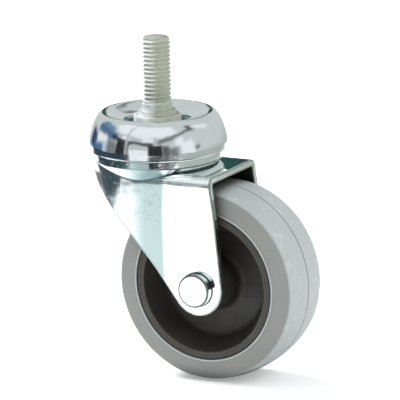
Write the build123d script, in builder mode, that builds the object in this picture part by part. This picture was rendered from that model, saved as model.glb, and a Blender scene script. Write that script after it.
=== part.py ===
from build123d import *
import os
from math import acos, atan2, cos, hypot, pi, radians, sin, tan

# Swivel castor: an 80 mm wheel in a pressed steel fork that turns on a threaded stem.
#
# Frame: millimetres, +Z up. The origin is on the axis of the stem, at the seat: the small flat
# shoulder that the tube or socket above comes down on. The wheel trails towards +X and its axle
# lies along Y. Everything below the seat therefore has a negative Z.

# --- Driving dimensions -------------------------------------------------------------------------

# Threaded stem, turned in one piece with the kingpin
thread_d = 12.0
thread_pitch = 1.75
thread_angle = 60.0
thread_neck = 2.5
stem_length = 30.0
stem_chamfer = 1.1
collar_d = 15.0
collar_height = 1.8
flange_d = 19.4
flange_height = 2.1
flange_rounding = 0.5
kingpin_d = 10.0
kingpin_head_d = 15.0
kingpin_head_height = 2.6
kingpin_head_rounding = 1.2

# Top cap, drawn from sheet: a rounded ring around a shallow dish
cap_sheet = 2.0
cap_rim_d = 56.9
cap_height = 14.6
cap_skirt = 2.3
cap_skirt_pull = 2.0
cap_crest_inset = 6.3
cap_crest_pull = 3.4
cap_dish_depth = 3.3
cap_dish_pull = 3.6
cap_floor_d = 25.0

# Fork, pressed in one piece from sheet
fork_sheet = 3.0
shoulder_height = 3.7
shoulder_inset = 1.95
shoulder_step = 2.0
shoulder_rounding = 1.0
crown_rounding = 0.8
cone_height = 5.8
cone_lap = 1.0
apron_inset = 0.2
apron_lap = 1.0
crease_to_plate = 2.4
fold_radius = 1.0
front_overreach = 0.8
front_blend_r = 12.0
plate_overhang = 5.25
lobe_r = 11.0
front_edge_top_drop = 0.95
front_bend_x = 8.0
front_bend_rise = 7.3
rear_bend_out = 1.6
rear_bend_rise = 31.0
edge_blend_r = 80.0
roof_blend_r = 20.0
edge_rounding = 0.4

# Wheel
wheel_d = 80.0
wheel_trail = 27.0
tyre_width = 30.1
tread_drop = 1.4
tyre_shoulder_inset = 1.65
tyre_depth = 9.5
tyre_rounding = 0.8
parting_width = 0.4
parting_depth = 0.25
key_height = 1.6
key_width = 9.0
rim_wall = 3.2
dish_draft = 4.7
web_thickness = 6.0
web_fillet = 2.8
boss_wall = 2.2
boss_draft = 0.5
boss_length = 31.8

# Bushes, axle sleeve and axle rivet
bush_wall = 2.0
bush_length = 15.0
bush_flange_width = 1.5
bush_flange_thickness = 1.2
sleeve_wall = 1.85
rivet_d = 8.2
rivet_head_d = 13.65
rivet_head_height = 3.6
rivet_tail_d = 12.6
rivet_tail_height = 2.5
rivet_head_rounding = 0.5
rivet_tail_rounding = 1.5

# Ball bearings of the swivel
upper_ball_d = 6.35
upper_race_inset = 3.6
cap_groove_depth = 0.3
crown_groove_depth = 1.2
lower_ball_d = 5.0
lower_race_land = 2.0
lower_groove_depth = 0.6
ball_spacing = 0.7
cup_sheet = 2.0

# Clearances
rim_gap = 0.4
race_clearance = 0.05
kingpin_clearance = 0.05
crown_hole_gap = 4.0
cup_gap = 1.2
tread_clearance = 3.3
side_gap = 0.3
axle_clearance = 0.06
rivet_clearance = 0.05

# --- Heights down the swivel axis ---------------------------------------------------------------

collar_z = -collar_height
cap_floor_z = collar_z - flange_height
cap_crest_z = cap_floor_z + cap_dish_depth
cap_rim_z = cap_crest_z - cap_height
cap_skirt_z = cap_rim_z + cap_skirt

upper_race_r = upper_ball_d / 2 + race_clearance
upper_ball_z = cap_crest_z - cap_sheet + cap_groove_depth - upper_race_r
crown_top_z = upper_ball_z - upper_race_r + crown_groove_depth
crown_under_z = crown_top_z - fork_sheet

lower_race_r = lower_ball_d / 2 + race_clearance
lower_ball_z = crown_under_z + lower_groove_depth - lower_race_r
cup_floor_z = lower_ball_z - lower_race_r
cup_base_z = cup_floor_z - cup_sheet
cup_rim_z = crown_under_z - cup_gap

shoulder_top_z = cap_rim_z - rim_gap
shoulder_base_z = shoulder_top_z - shoulder_height
plate_top_z = shoulder_base_z - crease_to_plate
plate_under_z = plate_top_z - fork_sheet
axle_z = plate_under_z - tread_clearance - wheel_d / 2
lobe_base_z = axle_z - lobe_r
front_edge_top_z = shoulder_base_z - front_edge_top_drop

# --- Radii about the swivel axis ----------------------------------------------------------------

kingpin_r = kingpin_d / 2
kingpin_hole_r = kingpin_r + kingpin_clearance
cap_rim_r = cap_rim_d / 2
cap_crest_r = cap_rim_r - cap_crest_inset
cap_floor_r = cap_floor_d / 2
shoulder_r = cap_rim_r - shoulder_inset
crown_r = shoulder_r - shoulder_step
plate_reach = cap_rim_r + plate_overhang
rear_bend_x = plate_reach + rear_bend_out
upper_circle_r = crown_r - upper_race_inset
crown_hole_r = kingpin_r + crown_hole_gap
lower_circle_r = crown_hole_r + lower_race_land
cup_inner_r = lower_circle_r + lower_race_r
upper_ball_count = int(2 * pi * upper_circle_r / (upper_ball_d + ball_spacing))
lower_ball_count = int(2 * pi * lower_circle_r / (lower_ball_d + ball_spacing))

# --- Radii about the axle and widths along it ---------------------------------------------------

boss_end_y = boss_length / 2
bush_end_y = boss_end_y + bush_flange_thickness
fork_inner_y = bush_end_y + side_gap
fork_outer_y = fork_inner_y + fork_sheet
front_centre_x = fork_outer_y - shoulder_r - front_overreach

rivet_r = rivet_d / 2
rivet_hole_r = rivet_r + rivet_clearance
sleeve_r = rivet_hole_r + sleeve_wall
bush_bore_r = sleeve_r + axle_clearance
bush_r = bush_bore_r + bush_wall
boss_r = bush_r + boss_wall

wheel_r = wheel_d / 2
tyre_bore_r = wheel_r - tyre_depth
key_r = tyre_bore_r + key_height
dish_mouth_r = tyre_bore_r - rim_wall
dish_floor_r = dish_mouth_r - dish_draft
side_y = tyre_width / 2
web_y = web_thickness / 2

swivel_axis = Axis.Z
axle_axis = Axis((wheel_trail, 0, axle_z), (0, 1, 0))
axle_plane = Plane(origin=(wheel_trail, 0, axle_z), x_dir=(1, 0, 0), z_dir=(0, 0, 1))
side_plane = Plane(origin=(wheel_trail, 0, axle_z), x_dir=(1, 0, 0), z_dir=(0, -1, 0))

os.makedirs("parts", exist_ok=True)


def finish(piece, name):
    """Label a finished piece and write it to its own file."""
    piece.part.label = name
    export_step(piece.part, f"parts/{name}.step")


def corners(sketch, *points):
    """The corners of a sketch nearest to the points given, in the sketch's own coordinates."""
    return [sketch.vertices().sort_by_distance(point)[0] for point in points]


def race_ring(circle_r, race_r, height):
    """The ring that a row of balls sweeps, with the race's clearance all round."""
    with BuildPart() as ring:
        with BuildSketch(Plane.XZ):
            with Locations((circle_r, height)):
                Circle(race_r)
        revolve(axis=swivel_axis)
    return ring.part


upper_race = race_ring(upper_circle_r, upper_race_r, upper_ball_z)
lower_race = race_ring(lower_circle_r, lower_race_r, lower_ball_z)

# --- Threaded stem ------------------------------------------------------------------------------
# Stem, collar, flange and kingpin are one turned piece, and the kingpin's lower end is peened over
# the lower race cup. The metric thread has its true pitch, flanks and depth, with flats of an eighth
# of the pitch on its crests and a quarter at its roots, but it is a row of rings instead of one
# helical groove, so that its crests are a plain round wall for whatever fits over the stem.

flange_r = flange_d / 2
kingpin_head_r = kingpin_head_d / 2
kingpin_end_z = cup_base_z - kingpin_head_height
thread_mouth = thread_pitch * 7 / 8
thread_root = thread_pitch / 4
thread_depth = (thread_mouth - thread_root) / 2 / tan(radians(thread_angle / 2))
thread_grooves = int((stem_length - stem_chamfer - thread_neck) / thread_pitch)
groove_places = [
    (thread_d / 2, thread_neck + thread_pitch / 2 + groove * thread_pitch)
    for groove in range(thread_grooves)
]
groove_outline = [
    (0, thread_mouth / 2),
    (-thread_depth, thread_root / 2),
    (-thread_depth, -thread_root / 2),
    (0, -thread_mouth / 2),
]

with BuildPart() as threaded_stem:
    with BuildSketch(Plane.XZ) as stem_section:
        with BuildLine():
            Polyline(
                (0, stem_length),
                (thread_d / 2, stem_length),
                (thread_d / 2, 0),
                (collar_d / 2, 0),
                (collar_d / 2, collar_z),
                (flange_r, collar_z),
                (flange_r, cap_floor_z),
                (kingpin_r, cap_floor_z),
                (kingpin_r, cup_base_z),
                (kingpin_head_r, cup_base_z),
                (kingpin_head_r, kingpin_end_z),
                (0, kingpin_end_z),
                close=True,
            )
        make_face()
        chamfer(corners(stem_section, (thread_d / 2, stem_length)), stem_chamfer)
        fillet(corners(stem_section, (flange_r, collar_z)), flange_rounding)
        fillet(corners(stem_section, (kingpin_head_r, kingpin_end_z)), kingpin_head_rounding)
        with Locations(groove_places):
            Polygon(groove_outline, align=None, mode=Mode.SUBTRACT)
    revolve(axis=swivel_axis)

finish(threaded_stem, "threaded_stem")

# --- Top cap ------------------------------------------------------------------------------------
# A chromed sheet ring. Its outer wall rises from a short straight skirt and rolls over a crest into
# a dish, whose flat floor is clamped under the stem's flange. The upper balls run on its inside.


def cap_side(wall):
    """The rolled outer wall, from the skirt up to the crest, moved inwards by wall."""
    start = (cap_rim_r - wall, cap_skirt_z)
    start_pull = (cap_rim_r - wall, cap_skirt_z + cap_skirt_pull)
    end_pull = (cap_crest_r + cap_crest_pull - wall, cap_crest_z - wall)
    end = (cap_crest_r, cap_crest_z - wall)
    return Bezier(start, start_pull, end_pull, end)


def cap_dish(wall):
    """The dish, from the crest down to the floor, moved down by wall."""
    start = (cap_crest_r, cap_crest_z - wall)
    start_pull = (cap_crest_r - cap_dish_pull, cap_crest_z - wall)
    end_pull = (cap_floor_r + cap_dish_pull, cap_floor_z - wall)
    end = (cap_floor_r, cap_floor_z - wall)
    return Bezier(start, start_pull, end_pull, end)


with BuildPart() as top_cap:
    with BuildSketch(Plane.XZ):
        with BuildLine():
            Line((cap_rim_r, cap_rim_z), (cap_rim_r, cap_skirt_z))
            cap_side(0)
            cap_dish(0)
            Polyline(
                (cap_floor_r, cap_floor_z),
                (kingpin_hole_r, cap_floor_z),
                (kingpin_hole_r, cap_floor_z - cap_sheet),
                (cap_floor_r, cap_floor_z - cap_sheet),
            )
            cap_dish(cap_sheet)
            cap_side(cap_sheet)
            Polyline(
                (cap_rim_r - cap_sheet, cap_skirt_z),
                (cap_rim_r - cap_sheet, cap_rim_z),
                (cap_rim_r, cap_rim_z),
            )
        make_face()
    revolve(axis=swivel_axis)
    add(upper_race, mode=Mode.SUBTRACT)

finish(top_cap, "top_cap")

# --- Lower race cup -----------------------------------------------------------------------------
# A pressed cup on the kingpin. The lower balls lie in its rounded inner corner and bear on the
# underside of the fork's crown.

cup_outer_r = cup_inner_r + cup_sheet

with BuildPart() as lower_race_cup:
    with BuildSketch(Plane.XZ) as cup_section:
        with BuildLine():
            Polyline(
                (kingpin_hole_r, cup_base_z),
                (cup_outer_r, cup_base_z),
                (cup_outer_r, cup_rim_z),
                (cup_inner_r, cup_rim_z),
                (cup_inner_r, cup_floor_z),
                (kingpin_hole_r, cup_floor_z),
                close=True,
            )
        make_face()
        fillet(corners(cup_section, (cup_inner_r, cup_floor_z)), lower_race_r)
        fillet(corners(cup_section, (cup_outer_r, cup_base_z)), lower_race_r)
    revolve(axis=swivel_axis)

finish(lower_race_cup, "lower_race_cup")

# --- Balls --------------------------------------------------------------------------------------


def ball_row(name, count, circle_r, height, ball_d):
    """One row of loose bearing balls, each a piece of its own."""
    for number, place in enumerate(PolarLocations(circle_r, count), start=1):
        with BuildPart() as ball:
            with Locations((place.position.X, place.position.Y, height)):
                Sphere(ball_d / 2)
        finish(ball, f"{name}_{number:02d}")


ball_row("upper_ball", upper_ball_count, upper_circle_r, upper_ball_z, upper_ball_d)
ball_row("lower_ball", lower_ball_count, lower_circle_r, lower_ball_z, lower_ball_d)

# --- Fork ---------------------------------------------------------------------------------------
# One pressing. Round the swivel axis it is a stepped crown with a shoulder under the cap's rim.
# Below the shoulder it narrows to a channel with a flat roof, two legs and a rounded front apron.
# The outer form and the hollow inside it are the same shapes, the hollow smaller by the sheet.

fold_outer_r = fold_radius + fork_sheet
cone_slope = (shoulder_r - fork_outer_y) / cone_height
fork_end_x = wheel_trail + 2 * lobe_r


def crown_form(inset):
    """The crown and its shoulder, turned about the swivel axis."""
    base_z = shoulder_base_z - cone_height - cone_lap
    step_z = shoulder_top_z - inset
    cone_base_r = fork_outer_y - cone_lap * cone_slope - inset * hypot(1, cone_slope)
    cone_top_r = cone_base_r + (step_z - base_z) * cone_slope
    with BuildPart() as crown:
        with BuildSketch(Plane.XZ) as section:
            with BuildLine():
                Polyline(
                    (0, base_z),
                    (cone_base_r, base_z),
                    (cone_top_r, step_z),
                    (0, step_z),
                    close=True,
                )
            make_face()
            with Locations((0, base_z)):
                Rectangle(
                    shoulder_r - inset,
                    step_z - base_z,
                    align=(Align.MIN, Align.MIN),
                    mode=Mode.INTERSECT,
                )
            with Locations((0, step_z)):
                Rectangle(
                    crown_r - inset,
                    crown_top_z - shoulder_top_z,
                    align=(Align.MIN, Align.MIN),
                )
            fillet(corners(section, (crown_r - inset, crown_top_z - inset)), crown_rounding)
            if inset == 0:
                fillet(corners(section, (shoulder_r, shoulder_top_z)), shoulder_rounding)
        revolve(axis=swivel_axis)
    return crown.part


def channel_form(inset, apron_top_z):
    """The apron in front of the swivel axis, and the roof and legs behind it, still uncut."""
    half_width = fork_outer_y - inset
    roof_z = plate_top_z - inset
    with BuildPart() as channel:
        with BuildSketch(Plane.XY.offset(lobe_base_z)) as plan:
            with Locations((front_centre_x, 0)):
                Circle(half_width)
            Circle(shoulder_r - apron_inset - inset, mode=Mode.INTERSECT)
            Rectangle(
                shoulder_r,
                2 * half_width,
                align=(Align.MAX, Align.CENTER),
                mode=Mode.INTERSECT,
            )
            fillet(
                corners(plan, (-shoulder_r, half_width), (-shoulder_r, -half_width)),
                front_blend_r,
            )
            with Locations((front_centre_x, 0)):
                Rectangle(-front_centre_x, 2 * half_width, align=(Align.MIN, Align.CENTER))
        extrude(amount=apron_top_z - lobe_base_z)
        with BuildSketch(Plane.YZ) as roof_section:
            with Locations((0, roof_z)):
                Rectangle(2 * half_width, roof_z - lobe_base_z, align=(Align.CENTER, Align.MAX))
            fillet(
                corners(roof_section, (half_width, roof_z), (-half_width, roof_z)),
                fold_outer_r - inset,
            )
        extrude(amount=fork_end_x)
    return channel.part


def lobe_tangent(start, turn):
    """Where a line from a point in the side view touches the lobe: turn picks one side of it."""
    reach_x = start[0] - wheel_trail
    reach_z = start[1] - axle_z
    angle = atan2(reach_z, reach_x) + turn * acos(lobe_r / hypot(reach_x, reach_z))
    return (wheel_trail + lobe_r * cos(angle), axle_z + lobe_r * sin(angle))


def side_form():
    """What the side profile keeps: the legs run down and back to a round lobe about the axle."""
    front_bend = (front_bend_x, axle_z + front_bend_rise)
    front_slope = (front_bend[1] - front_edge_top_z) / (front_bend_x + shoulder_r)
    front_top = (-cap_rim_r, front_edge_top_z - front_slope * shoulder_inset)
    rear_bend = (rear_bend_x, axle_z + rear_bend_rise)
    rear_top = (plate_reach, plate_top_z - fold_outer_r)
    with BuildPart() as side:
        with BuildSketch(Plane.XZ) as profile:
            with BuildLine():
                front_line = Line(front_bend, lobe_tangent(front_bend, 1))
                rear_line = Line(lobe_tangent(rear_bend, -1), rear_bend)
                ThreePointArc(front_line @ 1, (wheel_trail, lobe_base_z), rear_line @ 0)
                Polyline(
                    rear_bend,
                    rear_top,
                    (plate_reach, cap_crest_z),
                    (front_top[0], cap_crest_z),
                    front_top,
                    front_bend,
                )
            make_face()
            fillet(corners(profile, front_bend, rear_bend), edge_blend_r)
            fillet(corners(profile, rear_top), roof_blend_r)
        extrude(amount=cap_rim_r, both=True)
    return side.part


with BuildPart() as fork:
    add(crown_form(0))
    add(channel_form(0, shoulder_base_z + apron_lap))
    add(crown_form(fork_sheet), mode=Mode.SUBTRACT)
    add(channel_form(fork_sheet, shoulder_base_z), mode=Mode.SUBTRACT)
    add(upper_race, mode=Mode.SUBTRACT)
    add(lower_race, mode=Mode.SUBTRACT)
    with BuildSketch(Plane.XY.offset(crown_under_z)):
        Circle(crown_hole_r)
    extrude(amount=fork_sheet, mode=Mode.SUBTRACT)
    add(side_form(), mode=Mode.INTERSECT)
    with BuildSketch(side_plane):
        Circle(rivet_hole_r)
    extrude(amount=fork_outer_y, both=True, mode=Mode.SUBTRACT)
    cut_edges = fork.edges().filter_by(GeomType.LINE).filter_by(Plane.XZ).group_by(Axis.X)[-1]
    fillet(cut_edges, edge_rounding)

finish(fork, "fork")

# --- Wheel --------------------------------------------------------------------------------------
# The hub is a moulding: a rim, a web in the middle and a boss for the bushes, with a dish on either
# side. A low key round its rim holds the tyre, which is moulded on. Sections are drawn from the
# middle of the wheel out to one side, and mirrored.

with BuildPart() as hub:
    with BuildSketch(axle_plane) as hub_section:
        with BuildLine():
            Polyline(
                (bush_r, 0),
                (key_r, 0),
                (key_r, key_width / 2),
                (tyre_bore_r, key_width / 2),
                (tyre_bore_r, side_y),
                (dish_mouth_r, side_y),
                (dish_floor_r, web_y),
                (boss_r + boss_draft, web_y),
                (boss_r, boss_end_y),
                (bush_r, boss_end_y),
                close=True,
            )
        make_face()
        fillet(
            corners(hub_section, (dish_floor_r, web_y), (boss_r + boss_draft, web_y)), web_fillet
        )
        mirror(about=Plane.XZ)
    revolve(axis=axle_axis)

finish(hub, "hub")

tyre_crease_r = wheel_r - tread_drop
tyre_crease_y = side_y - tyre_shoulder_inset

with BuildPart() as tyre:
    with BuildSketch(axle_plane) as tyre_section:
        with BuildLine():
            tread = ThreePointArc(
                (tyre_crease_r, tyre_crease_y), (wheel_r, 0), (tyre_crease_r, -tyre_crease_y)
            )
            Polyline(
                tread @ 1,
                (tyre_bore_r, -side_y),
                (tyre_bore_r, -key_width / 2),
                (key_r, -key_width / 2),
                (key_r, key_width / 2),
                (tyre_bore_r, key_width / 2),
                (tyre_bore_r, side_y),
                tread @ 0,
            )
        make_face()
        fillet(
            corners(
                tyre_section, (tyre_crease_r, tyre_crease_y), (tyre_crease_r, -tyre_crease_y)
            ),
            tyre_rounding,
        )
        with Locations((wheel_r, 0)):
            Rectangle(2 * parting_depth, parting_width, mode=Mode.SUBTRACT)
    revolve(axis=axle_axis)

finish(tyre, "tyre")

# --- Bushes, axle sleeve and axle rivet ---------------------------------------------------------
# Each bush is pushed into the boss up to its flange, and turns on the sleeve. The rivet clamps the
# sleeve between the legs, so the legs never pinch the wheel.

bush_flange_r = bush_r + bush_flange_width

for side, name in ((-1, "bush_near"), (1, "bush_far")):
    with BuildPart() as bush:
        with BuildSketch(axle_plane):
            with BuildLine():
                Polyline(
                    (bush_bore_r, side * bush_end_y),
                    (bush_flange_r, side * bush_end_y),
                    (bush_flange_r, side * boss_end_y),
                    (bush_r, side * boss_end_y),
                    (bush_r, side * (bush_end_y - bush_length)),
                    (bush_bore_r, side * (bush_end_y - bush_length)),
                    close=True,
                )
            make_face()
        revolve(axis=axle_axis)
    finish(bush, name)

with BuildPart() as axle_sleeve:
    with BuildSketch(axle_plane):
        with Locations(((rivet_hole_r + sleeve_r) / 2, 0)):
            Rectangle(sleeve_wall, 2 * fork_inner_y)
    revolve(axis=axle_axis)

finish(axle_sleeve, "axle_sleeve")

rivet_head_r = rivet_head_d / 2
rivet_tail_r = rivet_tail_d / 2
rivet_head_y = -fork_outer_y - rivet_head_height
rivet_tail_y = fork_outer_y + rivet_tail_height

with BuildPart() as axle_rivet:
    with BuildSketch(axle_plane) as rivet_section:
        with BuildLine():
            Polyline(
                (0, rivet_head_y),
                (rivet_head_r, rivet_head_y),
                (rivet_head_r, -fork_outer_y),
                (rivet_r, -fork_outer_y),
                (rivet_r, fork_outer_y),
                (rivet_tail_r, fork_outer_y),
                (rivet_tail_r, rivet_tail_y),
                (0, rivet_tail_y),
                close=True,
            )
        make_face()
        fillet(corners(rivet_section, (rivet_head_r, rivet_head_y)), rivet_head_rounding)
        fillet(corners(rivet_section, (rivet_tail_r, rivet_tail_y)), rivet_tail_rounding)
    revolve(axis=axle_axis)

finish(axle_rivet, "axle_rivet")
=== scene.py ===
from math import cos, hypot, pi, radians, sin, sqrt, tan, tau

import bmesh
import bpy
from bpy.props import FloatProperty, FloatVectorProperty, PointerProperty
from mathutils import Matrix, Vector


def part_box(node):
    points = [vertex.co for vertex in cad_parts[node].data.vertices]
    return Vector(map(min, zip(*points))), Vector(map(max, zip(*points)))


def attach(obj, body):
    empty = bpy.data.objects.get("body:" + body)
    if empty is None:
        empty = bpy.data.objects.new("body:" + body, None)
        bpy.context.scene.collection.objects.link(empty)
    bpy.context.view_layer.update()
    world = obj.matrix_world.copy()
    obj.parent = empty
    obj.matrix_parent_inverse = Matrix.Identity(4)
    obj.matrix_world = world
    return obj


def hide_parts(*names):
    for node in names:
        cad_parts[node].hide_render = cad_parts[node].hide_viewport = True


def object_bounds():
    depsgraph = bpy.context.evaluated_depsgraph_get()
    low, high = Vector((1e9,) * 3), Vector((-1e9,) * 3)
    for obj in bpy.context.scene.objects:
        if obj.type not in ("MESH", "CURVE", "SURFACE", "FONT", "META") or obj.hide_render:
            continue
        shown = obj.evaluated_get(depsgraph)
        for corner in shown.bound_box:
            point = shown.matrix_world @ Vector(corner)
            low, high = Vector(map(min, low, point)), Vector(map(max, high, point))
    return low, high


bl_info = {
    "name": "Swivel castor",
    "version": (1, 0, 0),
    "blender": (4, 5, 0),
    "location": "3D View > Sidebar > Castor",
    "description": "Dresses a threaded-stem swivel castor in thread, plating, rubber and plastic",
    "category": "Object",
}

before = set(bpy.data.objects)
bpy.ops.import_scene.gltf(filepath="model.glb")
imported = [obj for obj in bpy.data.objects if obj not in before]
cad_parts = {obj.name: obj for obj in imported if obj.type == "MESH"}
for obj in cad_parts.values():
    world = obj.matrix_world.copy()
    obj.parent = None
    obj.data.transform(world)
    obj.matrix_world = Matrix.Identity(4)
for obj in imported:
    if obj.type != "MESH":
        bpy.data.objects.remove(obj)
cad_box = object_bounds()

MM = 0.001
CREASE = radians(35)


# --- Sizes and colours -------------------------------------


def linear(red, green, blue):
    """A colour as it looks on a screen, from 0 to 255, turned into the light it stands for."""
    shares = (value / 255 for value in (red, green, blue))
    return tuple(s / 12.92 if s <= 0.04045 else ((s + 0.055) / 1.055) ** 2.4 for s in shares)


class CastorStemSettings(bpy.types.PropertyGroup):
    """The threaded stem, its collar and the kingpin below it"""

    diameter: FloatProperty(
        name="Thread diameter",
        description="Over the crests of the thread",
        default=12 * MM,
        unit="LENGTH",
    )
    pitch: FloatProperty(
        name="Thread pitch",
        description="Distance from one crest to the next",
        default=1.75 * MM,
        unit="LENGTH",
    )
    flank_angle: FloatProperty(
        name="Flank angle",
        description="Angle between the two flanks of the thread",
        default=radians(60),
        subtype="ANGLE",
    )
    chamfer: FloatProperty(
        name="End chamfer",
        description="Width and height of the chamfer at the free end",
        default=1.1 * MM,
        unit="LENGTH",
    )
    neck: FloatProperty(
        name="Plain neck",
        description="Height of the plain neck between the seat and the thread",
        default=2.5 * MM,
        unit="LENGTH",
    )
    collar_diameter: FloatProperty(
        name="Collar diameter",
        description="The collar whose top face is the seat",
        default=15 * MM,
        unit="LENGTH",
    )
    collar_height: FloatProperty(
        name="Collar height",
        description="From the seat down to the flange",
        default=1.8 * MM,
        unit="LENGTH",
    )
    flange_height: FloatProperty(
        name="Flange height",
        description="The flange that clamps the cap",
        default=2.1 * MM,
        unit="LENGTH",
    )
    kingpin_diameter: FloatProperty(
        name="Kingpin diameter",
        description="The pin below the flange that carries the bearings",
        default=10 * MM,
        unit="LENGTH",
    )
    head_diameter: FloatProperty(
        name="Peened head diameter",
        description="The head formed on the lower end of the kingpin",
        default=15 * MM,
        unit="LENGTH",
    )
    head_height: FloatProperty(
        name="Peened head height",
        description="The head formed on the lower end of the kingpin",
        default=2.6 * MM,
        unit="LENGTH",
    )
    flange_rounding: FloatProperty(
        name="Flange rounding",
        description="Rounding of the flange's upper edge",
        default=0.5 * MM,
        unit="LENGTH",
    )
    head_rounding: FloatProperty(
        name="Peened head rounding",
        description="Rounding of the lower edge of the peened head",
        default=1.2 * MM,
        unit="LENGTH",
    )


class CastorWheelSettings(bpy.types.PropertyGroup):
    """The tyre and the hub"""

    tread_drop: FloatProperty(
        name="Tread drop",
        description="How far the tread falls from its crown to its edge",
        default=1.4 * MM,
        unit="LENGTH",
    )
    edge_inset: FloatProperty(
        name="Tread edge inset",
        description="How far the edge of the tread stands in from the tyre's widest place",
        default=1.65 * MM,
        unit="LENGTH",
    )
    edge_rounding: FloatProperty(
        name="Tread edge rounding",
        description="Rounding between the tread and the side",
        default=0.8 * MM,
        unit="LENGTH",
    )
    tyre_depth: FloatProperty(
        name="Tyre depth",
        description="From the crown of the tread down to the hub",
        default=9.5 * MM,
        unit="LENGTH",
    )
    key_height: FloatProperty(
        name="Key height",
        description="The rib of the hub that holds the tyre",
        default=1.6 * MM,
        unit="LENGTH",
    )
    key_width: FloatProperty(
        name="Key width",
        description="The rib of the hub that holds the tyre",
        default=9 * MM,
        unit="LENGTH",
    )
    parting_width: FloatProperty(
        name="Parting line width",
        description="The moulding line round the middle of the tread",
        default=0.4 * MM,
        unit="LENGTH",
    )
    parting_depth: FloatProperty(
        name="Parting line depth",
        description="The moulding line round the middle of the tread",
        default=0.25 * MM,
        unit="LENGTH",
    )
    bead_width: FloatProperty(
        name="Bead width",
        description="The thin lip of the tyre that laps the edge of the hub",
        default=0.9 * MM,
        unit="LENGTH",
    )
    bead_height: FloatProperty(
        name="Bead height",
        description="How far the lip stands out of the tyre's side",
        default=0.3 * MM,
        unit="LENGTH",
    )
    rim_wall: FloatProperty(
        name="Rim wall",
        description="Thickness of the hub's rim at its edge",
        default=3.2 * MM,
        unit="LENGTH",
    )
    dish_draft: FloatProperty(
        name="Dish draft",
        description="How far the side of the dish leans in on its way to the web",
        default=4.7 * MM,
        unit="LENGTH",
    )
    web_thickness: FloatProperty(
        name="Web thickness",
        description="The disc between the rim and the boss",
        default=6 * MM,
        unit="LENGTH",
    )
    web_rounding: FloatProperty(
        name="Web rounding",
        description="The roundings between the web, the rim and the boss",
        default=2.8 * MM,
        unit="LENGTH",
    )
    rim_rounding: FloatProperty(
        name="Rim rounding",
        description="Rounding of the two edges of the rim",
        default=0.7 * MM,
        unit="LENGTH",
    )
    boss_wall: FloatProperty(
        name="Boss wall",
        description="Wall of the boss round the bush",
        default=2.2 * MM,
        unit="LENGTH",
    )
    boss_draft: FloatProperty(
        name="Boss draft",
        description="How far the boss widens towards the web",
        default=0.5 * MM,
        unit="LENGTH",
    )
    boss_length: FloatProperty(
        name="Boss length",
        description="From one end of the boss to the other",
        default=31.8 * MM,
        unit="LENGTH",
    )
    bush_flange_width: FloatProperty(
        name="Bush flange width",
        description="How far the bush's flange reaches over the end of the boss",
        default=1.5 * MM,
        unit="LENGTH",
    )


class CastorFinishSettings(bpy.types.PropertyGroup):
    """Colours of the finishes"""

    chrome: FloatVectorProperty(
        name="Chrome",
        description="Reflected colour of the chromed cap",
        default=linear(238, 240, 242),
        subtype="COLOR",
    )
    zinc: FloatVectorProperty(
        name="Zinc",
        description="Reflected colour of the bright zinc plating",
        default=linear(243, 248, 247),
        subtype="COLOR",
    )
    satin_zinc: FloatVectorProperty(
        name="Satin zinc",
        description="Reflected colour of the satin plating over the thread",
        default=linear(251, 253, 250),
        subtype="COLOR",
    )
    rubber: FloatVectorProperty(
        name="Rubber",
        description="Colour of the tyre's sides",
        default=linear(141, 144, 140),
        subtype="COLOR",
    )
    # Partly wear, partly painted light: the tread's paler colour stands for the light falling on it
    # as well as for wear.
    worn_and_lit_rubber: FloatVectorProperty(
        name="Worn and lit rubber",
        description="Colour of the tread and of the bead",
        default=linear(177, 182, 183),
        subtype="COLOR",
    )
    dark_plastic: FloatVectorProperty(
        name="Dark plastic",
        description="Colour of the hub",
        default=linear(41, 40, 36),
        subtype="COLOR",
    )
    pale_plastic: FloatVectorProperty(
        name="Pale plastic",
        description="Colour of the bushes",
        default=linear(224, 221, 208),
        subtype="COLOR",
    )


class CastorStageSettings(bpy.types.PropertyGroup):
    """The camera and the floor"""

    azimuth: FloatProperty(
        name="Camera azimuth",
        description="Turn of the camera about Z, from straight in front towards +X",
        default=radians(27.927),
        subtype="ANGLE",
    )
    elevation: FloatProperty(
        name="Camera elevation",
        description="Height of the camera above the level, as an angle",
        default=radians(13.507),
        subtype="ANGLE",
    )
    roll: FloatProperty(
        name="Camera roll",
        description="Turn of the camera about its own line of sight",
        default=radians(-1.398),
        subtype="ANGLE",
    )
    aim: FloatVectorProperty(
        name="Camera aim",
        description="The point that lies in the middle of the picture",
        default=(16.935 * MM, 3.028 * MM, -37.082 * MM),
        subtype="TRANSLATION",
    )
    distance: FloatProperty(
        name="Camera distance",
        description="From the camera to the point that it aims at",
        default=2.5,
        unit="LENGTH",
    )
    field: FloatProperty(
        name="Field of view",
        description="Width of the picture at the point that the camera aims at",
        default=162.07 * MM,
        unit="LENGTH",
    )
    floor_radius: FloatProperty(
        name="Floor radius",
        description="Radius of the round floor",
        default=4.0,
        unit="LENGTH",
    )


class CastorSettings(bpy.types.PropertyGroup):
    """All the castor's settings"""

    stem: PointerProperty(name="Stem", description="The stem's sizes", type=CastorStemSettings)
    wheel: PointerProperty(name="Wheel", description="The wheel's sizes", type=CastorWheelSettings)
    finish: PointerProperty(name="Finish", description="The colours", type=CastorFinishSettings)
    stage: PointerProperty(name="Stage", description="Camera and floor", type=CastorStageSettings)


# --- Places and sizes that the frame gives -----------------


def axle_middle():
    """The middle of the wheel, on the axle."""
    low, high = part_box("tyre")
    return (low + high) / 2


def wheel_sizes():
    """The radius of the tread's crown, the radius of the hub and half the tyre's width."""
    low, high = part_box("tyre")
    tread_r = (high.z - low.z) / 2
    return tread_r, tread_r - bpy.context.scene.castor.wheel.tyre_depth, (high.y - low.y) / 2


def rivet_head_radius():
    """The radius of the rivet's flat head."""
    low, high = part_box("axle_rivet")
    return (high.z - low.z) / 2


def towards(azimuth, elevation):
    """A direction. An azimuth of 0 is straight in front, and it grows towards +X."""
    level = cos(elevation)
    return Vector((sin(azimuth) * level, -cos(azimuth) * level, sin(elevation)))


# --- Making meshes -----------------------------------------


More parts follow.
